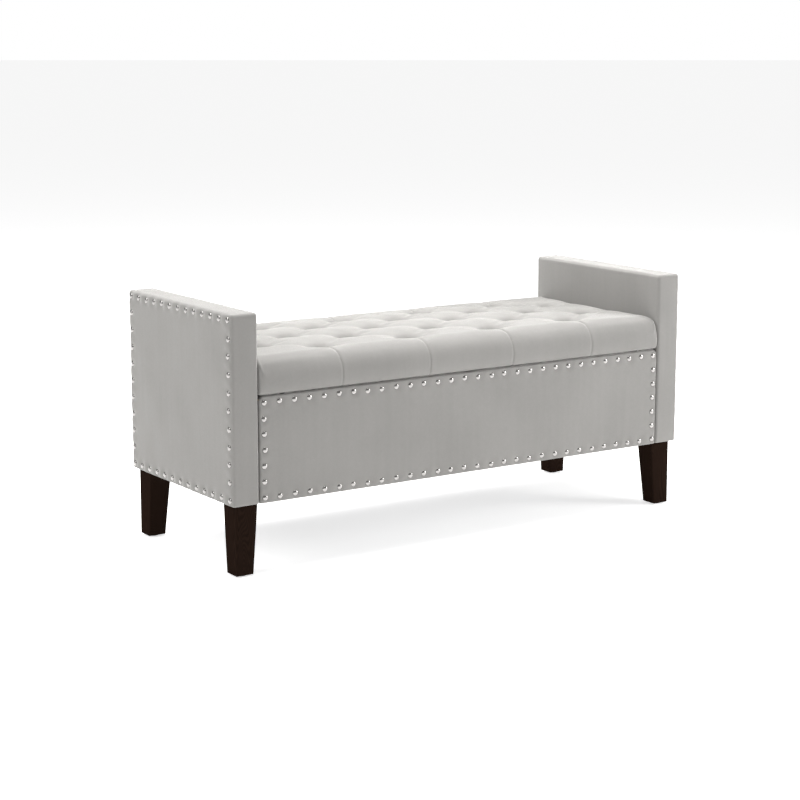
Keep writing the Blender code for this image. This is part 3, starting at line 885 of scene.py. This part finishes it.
@dataclass
class TuftedPad(Assembly):
    """The lid's deep-tufted pad.

    A fold and a gather are each the depth and the width of a valley: a fold runs between two
    tufts, and a gather runs from a tuft to the pad's edge, where its pleat starts.
    """

    tuft_x: float = 0.2261
    tuft_y: float = 0.0711
    edge: float = 0.028
    end_edge: float = 0.012
    corner: float = 0.006
    under: float = 0.004
    crown: float = 0.008
    side_puff: float = 0.0025
    depth: float = 0.030
    funnel: float = 0.0185
    bowl: float = 0.0025
    bowl_width: float = 0.034
    step: float = 0.0065
    pleat: float = 0.0016
    pleat_width: float = 0.0022
    lap: float = 0.0006
    wrap: float = 0.012
    recess: float = 0.0009
    sewn: float = 0.006
    ripple: float = 0.0009
    fold: tuple[float, float] = (0.0028, 0.0115)
    gather: tuple[float, float] = (0.0012, 0.0045)
    reach: float = 0.015
    pressure: float = 4.0
    frames: int = 20
    swell: float = 0.003

    def __post_init__(self) -> None:
        """Read the pad's size from the frame."""
        low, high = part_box("lid_cushion")
        self.low, self.high = np.array(low), np.array(high)
        self.half_x = (self.high[0] - self.low[0]) / 2
        self.middle_y = (self.low[1] + self.high[1]) / 2
        self.half_y = (self.high[1] - self.low[1]) / 2
        self.top = self.high[2] - 0.010

    def tufts(self) -> Array:
        """The tufts' places in plan: rows of four, five, four, five and four."""
        spots = []
        for row in range(-2, 3):
            offsets = (-2, -1, 0, 1, 2) if row % 2 else (-1.5, -0.5, 0.5, 1.5)
            spots += [(offset * self.tuft_x, self.middle_y + row * self.tuft_y) for offset in offsets]
        return np.array(spots)

    def folds(self, tufts: Array) -> list[tuple[Array, Array]]:
        """The creases between neighbouring tufts, and from the outer tufts to the pad's ends."""
        found = []
        for index, first in enumerate(tufts):
            for second in tufts[index + 1:]:
                near = abs(second - first) - (self.tuft_x / 2, self.tuft_y)
                if np.all(abs(near) < 0.001):
                    found.append((first, second))
        for spot in tufts:
            if abs(spot[0]) > 1.9 * self.tuft_x:
                end = np.array([math.copysign(self.half_x, spot[0]), spot[1]])
                found.append((spot, end))
        return found

    def pleats(self, tufts: Array) -> list[tuple[Array, Array]]:
        """The pleats from the first and last rows over the pad's front and back."""
        found = []
        for spot in tufts:
            row = (spot[1] - self.middle_y) / self.tuft_y
            if abs(row) > 1.9:
                found.append((spot, np.array([spot[0], self.middle_y + math.copysign(self.half_y, row)])))
        return found

    def stations(self) -> tuple[Array, Array, Array]:
        """The grid's places, closer at the rounded edges and beside the pleats."""
        turns = [self.edge * (1 - math.cos(math.pi / 2 * k / 7)) for k in range(7)]
        ends = [self.end_edge * (1 - math.cos(math.pi / 2 * k / 7)) for k in range(7)]
        beside = [-0.012, -0.008, -0.005, -0.003, -0.0015, 0.0, 0.0015, 0.003, 0.005, 0.008, 0.012]
        found = set()
        for spot in self.tufts():
            offsets = beside if self.is_outer(spot) else [0.0]
            found |= {round(spot[0] + offset, 6) for offset in offsets}
        marks = sorted(found)
        start, end = -self.half_x + self.end_edge, self.half_x - self.end_edge
        line = [start]
        for mark in marks + [end]:
            line += spread_evenly(line[-1], mark, self.step)[1:]
        xs = [-self.half_x + turn for turn in ends] + line + [self.half_x - turn for turn in reversed(ends)]
        low_y, high_y = self.low[1], self.high[1]
        inner = [low_y + self.edge]
        rows = sorted({round(spot[1], 6) for spot in self.tufts()})
        for mark in rows + [high_y - self.edge]:
            inner += spread_evenly(inner[-1], mark, self.step)[1:]
        ys = [low_y + turn for turn in turns] + inner + [high_y - turn for turn in reversed(turns)]
        low_z = self.low[2]
        zs = [low_z, low_z + self.under * 0.5, low_z + self.under]
        zs += spread_evenly(low_z + self.under, self.top - self.edge, self.step)[1:]
        return np.array(xs), np.array(ys), np.array(zs)

    def is_outer(self, spot: Array) -> bool:
        """Whether a tuft is in the first or the last row."""
        return abs(spot[1] - self.middle_y) > 1.9 * self.tuft_y

    def dome(self, points: Array) -> Array:
        """Round the block's upper edges and corners, and crown its top.

        Args:
            points: Points of the lattice.

        Returns:
            The shaped points.
        """
        x, y, z = points.T.copy()
        y = y - self.middle_y
        in_x, in_y = self.half_x - np.abs(x), self.half_y - np.abs(y)
        upper = z >= self.top - self.edge - 1e-9
        reach_x = np.clip(1 - in_x / self.end_edge, 0.0, 1.0)
        reach_y = np.clip(1 - in_y / self.edge, 0.0, 1.0)
        share = reach_x / np.maximum(reach_x + reach_y, 1e-9)
        radius = self.edge + (self.end_edge - self.edge) * share
        reach = np.minimum((reach_x**6 + reach_y**6) ** (1 / 6), 1.0)
        drop = radius * (1 - np.sqrt(1 - reach**2))
        swell = (1 - (x / self.half_x) ** 4) * (1 - (y / self.half_y) ** 2)
        stretch = (self.top - radius - self.low[2]) / (self.top - self.edge - self.low[2])
        side_z = self.low[2] + (z - self.low[2]) * stretch
        z = np.where(upper, self.top - drop + self.crown * swell, side_z)
        rise = np.clip((z - self.low[2]) / (self.top - self.edge - self.low[2]), 0.0, 1.0)
        tuck = np.clip(1 - (z - self.low[2]) / self.under, 0.0, 1.0) * self.under * 0.8
        puff = self.side_puff * np.sin(math.pi * rise**0.8)
        for place, inside, share in ((x, in_x, 0.3), (y, in_y, 1.0)):
            side = np.clip(1 - inside / self.edge, 0.0, 1.0) ** 3
            place += np.sign(place) * (puff * share - tuck) * side
        limit_x, limit_y = self.half_x - self.corner, self.half_y - self.corner
        over = np.stack([x - np.clip(x, -limit_x, limit_x), y - np.clip(y, -limit_y, limit_y)], axis=1)
        largest, length = np.abs(over).max(axis=1), np.linalg.norm(over, axis=1)
        scale = np.where(length > 1e-9, largest / np.maximum(length, 1e-9), 1.0)
        x = x - over[:, 0] * (1 - scale)
        y = y - over[:, 1] * (1 - scale)
        return np.stack([x, y + self.middle_y, z], axis=1)

    def hollow(self, plan: Array, tufts: Array) -> Array:
        """How far the tufts and the folds between them draw the top down.

        Args:
            plan: The points in plan.
            tufts: The tufts in plan.

        Returns:
            The depth at each point.
        """
        rng = random.Random(17)
        parts = []
        for spot in tufts:
            away = plan - spot
            distance = np.linalg.norm(away * (0.88, 1.15), axis=1)
            angle = np.arctan2(away[:, 1], away[:, 0])
            ripple = self.ripple * np.cos(6 * angle + rng.uniform(0, 6.28)) * bell(distance - 0.016, 0.009)
            bowl = self.bowl * np.exp(-((distance / self.bowl_width) ** 2))
            cone = self.depth * np.exp(-((distance / self.funnel) ** 1.8))
            parts.append(np.maximum(cone + bowl + ripple, 0.0))
        for first, second in self.folds(tufts):
            parts.append(self.crease(plan, first, second, *self.fold))
        for first, second in self.pleats(tufts):
            parts.append(self.crease(plan, first, second, *self.gather))
        stack = np.stack(parts)
        return (stack**3).sum(axis=0) ** (1 / 3)

    def crease(self, plan: Array, first: Array, second: Array, middle: float, width: float) -> Array:
        """A soft valley from a tuft to another point, deepest at its ends that are tufts.

        Args:
            plan: The points in plan.
            first: The tuft that it starts from.
            second: Where it ends.
            middle: Its depth away from its ends.
            width: Its width.

        Returns:
            Its depth at each point.
        """
        along = second - first
        length = np.linalg.norm(along)
        share = np.clip(((plan - first) @ along) / length**2, 0.0, 1.0)
        across = np.linalg.norm(plan - (first + share[:, None] * along), axis=1)
        at_edge = max(abs(second[0]) - self.half_x, abs(second[1] - self.middle_y) - self.half_y) > -1e-6
        near_end = (share if at_edge else np.minimum(share, 1 - share)) * length
        deep = middle + (self.depth * 0.55 - middle) * np.exp(-near_end / self.reach)
        return deep * np.exp(-((across / width) ** 1.5))

    def sew_pleats(self, points: Array, tufts: Array) -> Array:
        """Draw in the pleats down the front and the back of the pad.

        Args:
            points: The pad's points.
            tufts: The tufts in plan.

        Returns:
            The points with the pleats drawn in.
        """
        moved = points.copy()
        for first, second in self.pleats(tufts):
            outward = math.copysign(1.0, second[1] - first[1])
            offset = points[:, 0] - first[0]
            on_side = np.clip(((points[:, 1] - first[1]) * outward) / abs(second[1] - first[1]), 0.0, 1.0)
            groove = self.pleat * np.exp(-((offset / self.pleat_width) ** 2))
            lap = self.lap * np.exp(-(((offset - 0.005) / 0.004) ** 2))
            amount = (groove - lap) * on_side**0.5 * (on_side > 0)
            steep = np.clip((points[:, 2] - self.top + self.edge) / self.edge, 0.0, 1.0)
            moved[:, 1] -= outward * amount * (1 - steep)
            moved[:, 2] -= amount * steep
        return moved

    def open_underside(self, xs: Array, ys: Array, zs: Array) -> tuple[Array, Array]:
        """The pad's lattice, open underneath inside the wrapped border.

        Args:
            xs: Places along X.
            ys: Places along Y.
            zs: Places along Z.

        Returns:
            The points and the quads.
        """
        points, quads = lattice(xs, ys, zs)
        within_x = np.nonzero(xs[-1] - np.abs(xs) > self.wrap)[0]
        within_y = np.nonzero(self.half_y - np.abs(ys - self.middle_y) > self.wrap)[0]
        first_x, last_x, first_y, last_y = within_x[0], within_x[-1], within_y[0], within_y[-1]
        low = points[:, 2] < zs[0] + 1e-9
        span_x = (points[:, 0] >= xs[first_x] - 1e-9) & (points[:, 0] <= xs[last_x] + 1e-9)
        span_y = (points[:, 1] >= ys[first_y] - 1e-9) & (points[:, 1] <= ys[last_y] + 1e-9)
        covered = low & span_x & span_y
        kept = quads[~covered[quads].all(axis=1)]
        used, renamed = np.unique(kept, return_inverse=True)
        return points[used], renamed.reshape(-1, 4)

    def let_swell(self, points: Array, quads: Array, held: Array) -> Array:
        """Let the cover swell between its tufts, as cloth under pressure.

        Args:
            points: The pad's points.
            quads: Its faces.
            held: Which points are sewn down.

        Returns:
            The settled points, none of them further than the swell from where it was.
        """
        cloth_piece = mesh_object("swelling_pad", points, quads, self.finishes[Slot.VELVET])
        group = cloth_piece.vertex_groups.new(name="held")
        group.add([int(index) for index in np.nonzero(held)[0]], 1.0, "REPLACE")
        cloth = cloth_piece.modifiers.new("Swell", "CLOTH")
        cloth.settings.quality = 4
        cloth.settings.mass = 0.25
        cloth.settings.tension_stiffness = 12.0
        cloth.settings.compression_stiffness = 12.0
        cloth.settings.bending_stiffness = 0.4
        cloth.settings.vertex_group_mass = group.name
        cloth.settings.use_pressure = True
        cloth.settings.uniform_pressure_force = self.pressure
        cloth.settings.effector_weights.gravity = 0.0
        cloth.collision_settings.use_collision = False
        cloth.point_cache.frame_start = 1
        cloth.point_cache.frame_end = self.frames
        scene = bpy.context.scene
        for frame in range(1, self.frames + 1):
            scene.frame_set(frame)
        settled = cloth_piece.evaluated_get(bpy.context.evaluated_depsgraph_get()).to_mesh()
        result = np.empty(len(points) * 3)
        settled.vertices.foreach_get("co", result)
        move = result.reshape(-1, 3) - points
        bpy.data.objects.remove(cloth_piece, do_unlink=True)
        scene.frame_set(1)
        length = np.linalg.norm(move, axis=1, keepdims=True)
        LOG.info("the pad's cloth moved up to %.1f mm", float(length.max()) * 1000)
        return points + move * np.minimum(1.0, self.swell / np.maximum(length, 1e-9))

    def build(self) -> None:
        """Build and place the pad."""
        points, quads = self.open_underside(*self.stations())
        tufts = self.tufts()
        upper = points[:, 2] >= self.top - self.edge - 1e-9
        shaped = self.dome(points)
        plan = points[:, :2]
        in_x = self.half_x - np.abs(plan[:, 0])
        in_y = self.half_y - np.abs(plan[:, 1] - self.middle_y)
        inside = np.minimum(in_x, in_y)
        fade = np.clip(inside / self.edge, 0.0, 1.0) ** 0.5
        shaped[:, 2] -= self.hollow(plan, tufts) * upper * fade
        near_tuft = np.min([np.linalg.norm(plan - spot, axis=1) for spot in tufts], axis=0)
        held = (points[:, 2] < self.low[2] + self.under + 0.001) | (upper & (near_tuft < self.sewn))
        shaped = self.let_swell(shaped, quads, held)
        shaped = self.sew_pleats(shaped, tufts)
        shaped[(points[:, 2] < self.low[2] + 1e-6) & (inside > self.wrap), 2] += self.recess
        pad = mesh_object("seat_pad_velvet", shaped, quads, self.finishes[Slot.VELVET])
        refine(pad)
        close_openings(pad)
        self.place(pad, Body.LID, Slot.VELVET, "lid_cushion")


# ---------------------------------------------------------------------------
# Legs
# ---------------------------------------------------------------------------


@dataclass
class Legs(Assembly):
    """The four tapered legs."""

    foot: float = 0.041
    edge: float = 0.0016

    def build(self) -> None:
        """Build and place the legs."""
        for depth_word, depth_side in (("front", -1), ("back", 1)):
            for side in Side:
                self.build_leg(f"{depth_word}_{side.word}", side.value, depth_side)

    def build_leg(self, word: str, side: int, depth_side: int) -> None:
        """Build one leg, whose two inner faces taper to the foot.

        Args:
            word: The corner's name.
            side: Which way its outer side faces along X.
            depth_side: Which way its outer side faces along Y.
        """
        low, high = (np.array(corner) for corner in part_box(f"{word}_leg"))
        stations = [edge_stations(low[axis], high[axis], self.edge, 0.02, 3) for axis in range(3)]
        points, quads = lattice(*stations)
        points, _ = round_block(points, low, high, self.edge)
        down = (high[2] - points[:, 2]) / (high[2] - low[2])
        for axis, outward in ((0, side), (1, depth_side)):
            fixed = high[axis] if outward > 0 else low[axis]
            width = high[axis] - low[axis]
            scale = 1 - down * (1 - self.foot / width)
            points[:, axis] = fixed + (points[:, axis] - fixed) * scale
        leg = mesh_object(f"{word}_stained_leg", points, quads, self.finishes[Slot.ESPRESSO])
        self.place(leg, Body.CARCASS, Slot.ESPRESSO, f"{word}_leg")


# ---------------------------------------------------------------------------
# Boards, linings and hardware
# ---------------------------------------------------------------------------


@dataclass
class Boards(Assembly):
    """The plywood in the front and back panels, with eased edges."""

    side_gap: float = 0.0015
    edge: float = 0.0012

    def build(self) -> None:
        """Build and place the boards."""
        for word in ("front", "back"):
            low, high = (np.array(corner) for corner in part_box(f"{word}_board"))
            low += (self.side_gap, 0.0, self.edge)
            high -= (self.side_gap, 0.0, self.edge)
            board = Solid()
            board.block(low, high, self.edge)
            piece = board.build(f"{word}_panel_board", self.finishes[Slot.PLYWOOD])
            self.place(piece, Body.CARCASS, Slot.PLYWOOD, f"{word}_board")


@dataclass
class StretchedCloth(Assembly):
    """A cloth stapled flat under a board, slack by a hair between its staples."""

    node: str
    body: Body
    rests_on: tuple[str, ...]
    step: float = 0.012
    margin: float = 0.009
    pitch: float = 0.048
    slack: float = 0.0003
    staple: tuple[float, float, float] = (0.0105, 0.0009, 0.0005)

    def build(self) -> None:
        """Build and place the cloth and its staples."""
        low, high = (np.array(corner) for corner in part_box(self.node))
        stations = [
            np.array(spread_evenly(low[0], high[0], self.step)),
            np.array(spread_evenly(low[1], high[1], self.step)),
            np.array([low[2], high[2]]),
        ]
        points, quads = lattice(*stations)
        x, y = points[:, 0], points[:, 1]
        inside = np.minimum(
            np.minimum(x - low[0], high[0] - x), np.minimum(y - low[1], high[1] - y)
        )
        free = np.clip((inside - self.margin) / 0.03, 0.0, 1.0)
        wave = np.sin(23 * x + 5 * y) * np.sin(17 * y - 4 * x + 1) + np.sin(61 * x - 37 * y) * 0.3
        edge_wave = np.cos(2 * math.pi * (x + y) / self.pitch) * bell(inside - 0.03, 0.02)
        points[:, 2] += self.slack * (wave * free + 0.6 * edge_wave)
        cloth = mesh_object(f"{self.node}_cloth", points, quads, self.finishes[Slot.LINING])
        self.place(cloth, self.body, Slot.LINING, self.node)
        staples = self.make_staples(low, high)
        self.place(staples, self.body, Slot.ZINC)
        list(self.rests_on)

    def make_staples(self, low: Array, high: Array) -> bpy.types.Object:
        """The staples' crowns along the cloth's four edges.

        Args:
            low: The cloth's lowest corner.
            high: Its highest corner.

        Returns:
            The staples as one piece.
        """
        rng = random.Random(41)
        crowns = Solid()
        length, width, height = (size / 2 for size in self.staple)
        for axis in (0, 1):
            start, end = low[axis] + 3 * self.margin, high[axis] - 3 * self.margin
            for along in spread_evenly(start, end, self.pitch):
                for line in (low[1 - axis] + self.margin, high[1 - axis] - self.margin):
                    crown = Solid()
                    crown.block((-length, -width, -height), (length, width, height), width * 0.4, 1)
                    spot = [0.0, 0.0, low[2] - height * 0.2]
                    spot[axis] = along + rng.uniform(-0.003, 0.003)
                    spot[1 - axis] = line + rng.uniform(-0.001, 0.001)
                    turn = Matrix.Rotation(axis * math.pi / 2 + rng.uniform(-0.3, 0.3), 4, "Z")
                    crowns.add(crown.points, crown.faces, Matrix.Translation(spot) @ turn)
        return crowns.build(f"{self.node}_staples", self.finishes[Slot.ZINC])


@dataclass
class FloorCloth(Assembly):
    """The cloth laid in the bottom of the box."""

    thickness: float = 0.0008
    gap: float = 0.0004
    margin: float = 0.003
    step: float = 0.014

    def build(self) -> None:
        """Build and place the cloth."""
        low, high = (np.array(corner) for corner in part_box("floor_board"))
        bottom = high[2] + self.gap
        stations = [
            np.array(spread_evenly(low[0] + self.margin, high[0] - self.margin, self.step)),
            np.array(spread_evenly(low[1] + self.margin, high[1] - self.margin, self.step)),
            np.array([bottom, bottom + self.thickness]),
        ]
        points, quads = lattice(*stations)
        x, y = points[:, 0], points[:, 1]
        points[:, 2] += 0.0002 * (1 + np.sin(19 * x + 7 * y) * np.sin(13 * y - 9 * x))
        cloth = mesh_object("floor_cloth", points, quads, self.finishes[Slot.LINING])
        self.place(cloth, Body.CARCASS, Slot.LINING)


@dataclass
class Fittings(Assembly):
    """Turned feet and bumpers, and the screws of the hinges and brackets."""

    screw_radius: float = 0.0031
    screw_height: float = 0.0009

    def build(self) -> None:
        """Build and place the fittings."""
        for depth_word in ("front", "back"):
            for side in Side:
                self.build_glide(f"{depth_word}_{side.word}_glide")
        for side in Side:
            self.build_bumper(f"{side.word}_bumper")
            self.build_screws(side)

    def build_glide(self, node: str) -> None:
        """Build a glide with an eased rim, standing for a node of the frame."""
        low, high = (Vector(corner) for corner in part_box(node))
        radius, height = (high.x - low.x) / 2, high.z - low.z
        profile = [
            (0.0, height),
            (radius * 0.96, height),
            (radius, height * 0.8),
            (radius, height * 0.4),
            (radius * 0.97, height * 0.15),
            (radius * 0.9, 0.0),
            (0.0, 0.0),
        ]
        glide = Solid()
        middle = ((low.x + high.x) / 2, (low.y + high.y) / 2, low.z)
        glide.turn(profile, Matrix.Translation(middle), 32)
        piece = glide.build(f"{node}_disc", self.finishes[Slot.NYLON])
        self.place(piece, Body.CARCASS, Slot.NYLON, node)

    def build_bumper(self, node: str) -> None:
        """Build a soft domed bumper, standing for a node of the frame."""
        low, high = (Vector(corner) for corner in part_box(node))
        radius, height = (high.x - low.x) / 2, high.z - low.z
        dome = [
            (radius * math.cos(turn), height * (0.45 - 0.45 * math.sin(turn)))
            for turn in (math.pi / 2 * step / 5 for step in range(6))
        ]
        bumper = Solid()
        middle = ((low.x + high.x) / 2, (low.y + high.y) / 2, low.z)
        profile = [(0.0, height), (radius, height)] + dome[:-1] + [(0.0, 0.0)]
        bumper.turn(profile, Matrix.Translation(middle), 24)
        piece = bumper.build(f"{node}_dome", self.finishes[Slot.RUBBER])
        self.place(piece, Body.LID, Slot.RUBBER, node)

    def screw(self, into: Solid, at: Sequence[float], direction: Sequence[float]) -> None:
        """Add a countersunk screw's head with a recess for the driver.

        Args:
            into: The screws so far.
            at: A point on the face that it is driven into.
            direction: The way that its head faces.
        """
        radius, height = self.screw_radius, self.screw_height
        profile = [
            (0.0, height * 0.1),
            (radius * 0.32, height * 0.45),
            (radius * 0.4, height * 0.95),
            (radius * 0.75, height * 0.7),
            (radius, height * 0.1),
            (radius, -height * 0.3),
            (0.0, -height * 0.3),
        ]
        into.turn(profile, facing(direction, at), 16)

    def build_screws(self, side: Side) -> None:
        """Build and place the screws of one side's hinge and strut brackets."""
        word = side.word
        carcass, lid = Solid(), Solid()
        low, high = (Vector(corner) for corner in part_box(f"{word}_hinge_panel_leaf"))
        for share in (0.14, 0.5, 0.86):
            x = low.x + (high.x - low.x) * share
            self.screw(carcass, (x, low.y + 0.009, low.z + 0.0012 - self.screw_height * 0.8), (0, 0, 1))
        low, high = (Vector(corner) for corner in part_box(f"{word}_hinge_lid_leaf"))
        for share in (0.14, 0.5, 0.86):
            x = low.x + (high.x - low.x) * share
            self.screw(lid, (x, low.y + 0.009, high.z - 0.0012 + self.screw_height * 0.8), (0, 0, -1))
        low, high = (Vector(corner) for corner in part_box(f"{word}_strut_wall_bracket"))
        wall = high.x - 0.002 if side is Side.RIGHT else low.x + 0.002
        for z in (low.z + 0.006, high.z - 0.006):
            self.screw(carcass, (wall, (low.y + high.y) / 2, z), (-side.value, 0, 0))
        low, high = (Vector(corner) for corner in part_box(f"{word}_strut_lid_bracket"))
        inner = low.x + 0.009 if side is Side.RIGHT else high.x - 0.009
        for y in (low.y + 0.007, high.y - 0.007):
            self.screw(lid, (inner, y, high.z - 0.002), (0, 0, -1))
        zinc = self.finishes[Slot.ZINC]
        self.place(carcass.build(f"{word}_carcass_screws", zinc), Body.CARCASS, Slot.ZINC)
        self.place(lid.build(f"{word}_lid_screws", zinc), Body.LID, Slot.ZINC)


# ---------------------------------------------------------------------------
# Studio
# ---------------------------------------------------------------------------


@dataclass(frozen=True)
class Softbox:
    """A square soft light, with its power in watts."""

    name: str
    place: tuple[float, float, float]
    target: tuple[float, float, float]
    size: float
    power: float

    def build(self) -> None:
        """Add the light to the scene."""
        data = bpy.data.lights.new(self.name, "AREA")
        data.shape = "SQUARE"
        data.size = self.size
        data.energy = self.power
        light = bpy.data.objects.new(self.name, data)
        light.location = self.place
        direction = Vector(self.target) - Vector(self.place)
        light.rotation_euler = direction.to_track_quat("-Z", "Y").to_euler()
        bpy.context.scene.collection.objects.link(light)


SOFTBOXES = (
    Softbox("overhead_softbox", (0.2, 0.5, 3.0), (0.0, 0.1, 0.2), 3.0, 205.0),
    Softbox("right_softbox", (2.3, -1.7, 1.0), (0.6, -0.2, 0.35), 1.0, 43.0),
    Softbox("left_softbox", (-5.0, 0.6, 3.6), (0.2, 0.0, 0.4), 2.6, 132.0),
    Softbox("inner_softbox", (-0.1, 0.4, 1.9), (0.55, 0.0, 0.5), 0.6, 8.0),
)


@dataclass
class Studio:
    """The floor, the soft lights and the camera."""

    lens: float = 89.14
    shift: tuple[float, float] = (0.0, -0.0435)
    place: tuple[float, float, float] = (-2.5423, -3.7361, 1.1475)
    azimuth: float = -33.859
    elevation: float = 9.837
    surround: float = 0.34
    background: float = 1.0
    floor_grey: float = 0.8
    floor_glow: float = 0.65
    floor_reach: float = 60.0

    def build(self) -> None:
        """Build the studio."""
        self.make_world()
        self.make_floor()
        for softbox in SOFTBOXES:
            softbox.build()
        self.make_camera()

    def make_world(self) -> None:
        """A pale surround that lights the bench evenly and shows white behind it."""
        world = bpy.data.worlds.new("pale_surround")
        world.use_nodes = True
        tree = world.node_tree
        back = tree.nodes["Background"]
        ray = tree.nodes.new("ShaderNodeLightPath")
        strength = add_node(tree, "ShaderNodeMapRange", {"Value": ray.outputs["Is Camera Ray"]})
        strength.inputs["To Min"].default_value = self.surround
        strength.inputs["To Max"].default_value = self.background
        back.inputs["Color"].default_value = (1.0, 1.0, 1.0, 1.0)
        tree.links.new(strength.outputs["Result"], back.inputs["Strength"])
        bpy.context.scene.world = world
        bpy.context.scene.view_settings.view_transform = "Standard"

    def make_floor(self) -> None:
        """A plain pale floor."""
        material, shader, _ = start_material("studio_floor")
        shader.inputs["Base Color"].default_value = (*[self.floor_grey] * 3, 1.0)
        shader.inputs["Roughness"].default_value = 0.9
        shader.inputs["Specular IOR Level"].default_value = 0.1
        shader.inputs["Emission Color"].default_value = (1.0, 1.0, 1.0, 1.0)
        shader.inputs["Emission Strength"].default_value = self.floor_glow
        reach = self.floor_reach
        corners = [(-reach, -reach, 0.0), (reach, -reach, 0.0), (reach, reach, 0.0), (-reach, reach, 0.0)]
        floor = mesh_object("studio_floor", corners, [(0, 1, 2, 3)], material)

    def make_camera(self) -> None:
        """Add the camera, level and in front of the bench's left end."""
        data = bpy.data.cameras.new("camera")
        data.lens = self.lens
        data.sensor_width = 36.0
        data.shift_x, data.shift_y = self.shift
        data.clip_end = 60.0
        camera = bpy.data.objects.new("camera", data)
        turn, rise = math.radians(self.azimuth), math.radians(self.elevation)
        back = Vector(
            (math.sin(turn) * math.cos(rise), -math.cos(turn) * math.cos(rise), math.sin(rise))
        )
        camera.rotation_euler = (-back).to_track_quat("-Z", "Y").to_euler()
        camera.location = self.place
        bpy.context.scene.collection.objects.link(camera)
        bpy.context.scene.camera = camera


def dress_frame(frame: dict, finishes: dict[Slot, bpy.types.Material]) -> None:
    """Give every node of the frame the finish of its slot.

    Args:
        finishes: The material of each slot.
    """
    for row in frame["record"]["subparts"]:
        node = frame["nodes"].get(row["node"])
        if node is not None:
            node.data.materials.clear()
            node.data.materials.append(finishes[Slot(row["material_slot"])])


def main() -> None:
    """Build the bench's looks in order."""
    logging.basicConfig(level=logging.INFO, format="%(name)s: %(message)s", stream=sys.stdout)
    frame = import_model()
    shop = Workshop()
    finishes = {slot: finish.build(shop) for slot, finish in FINISHES.items()}
    dress_frame(frame, finishes)
    Studio().build()
    for side in Side:
        Arm(finishes, side).build()
    Panels(finishes).build()
    TuftedPad(finishes).build()
    Legs(finishes).build()
    Boards(finishes).build()
    StretchedCloth(finishes, "lid_lining", Body.LID, ("lid_board",)).build()
    StretchedCloth(finishes, "dust_cover", Body.CARCASS, ("front_batten", "back_batten")).build()
    FloorCloth(finishes).build()
    Fittings(finishes).build()


if __name__ == "__main__":
    main()
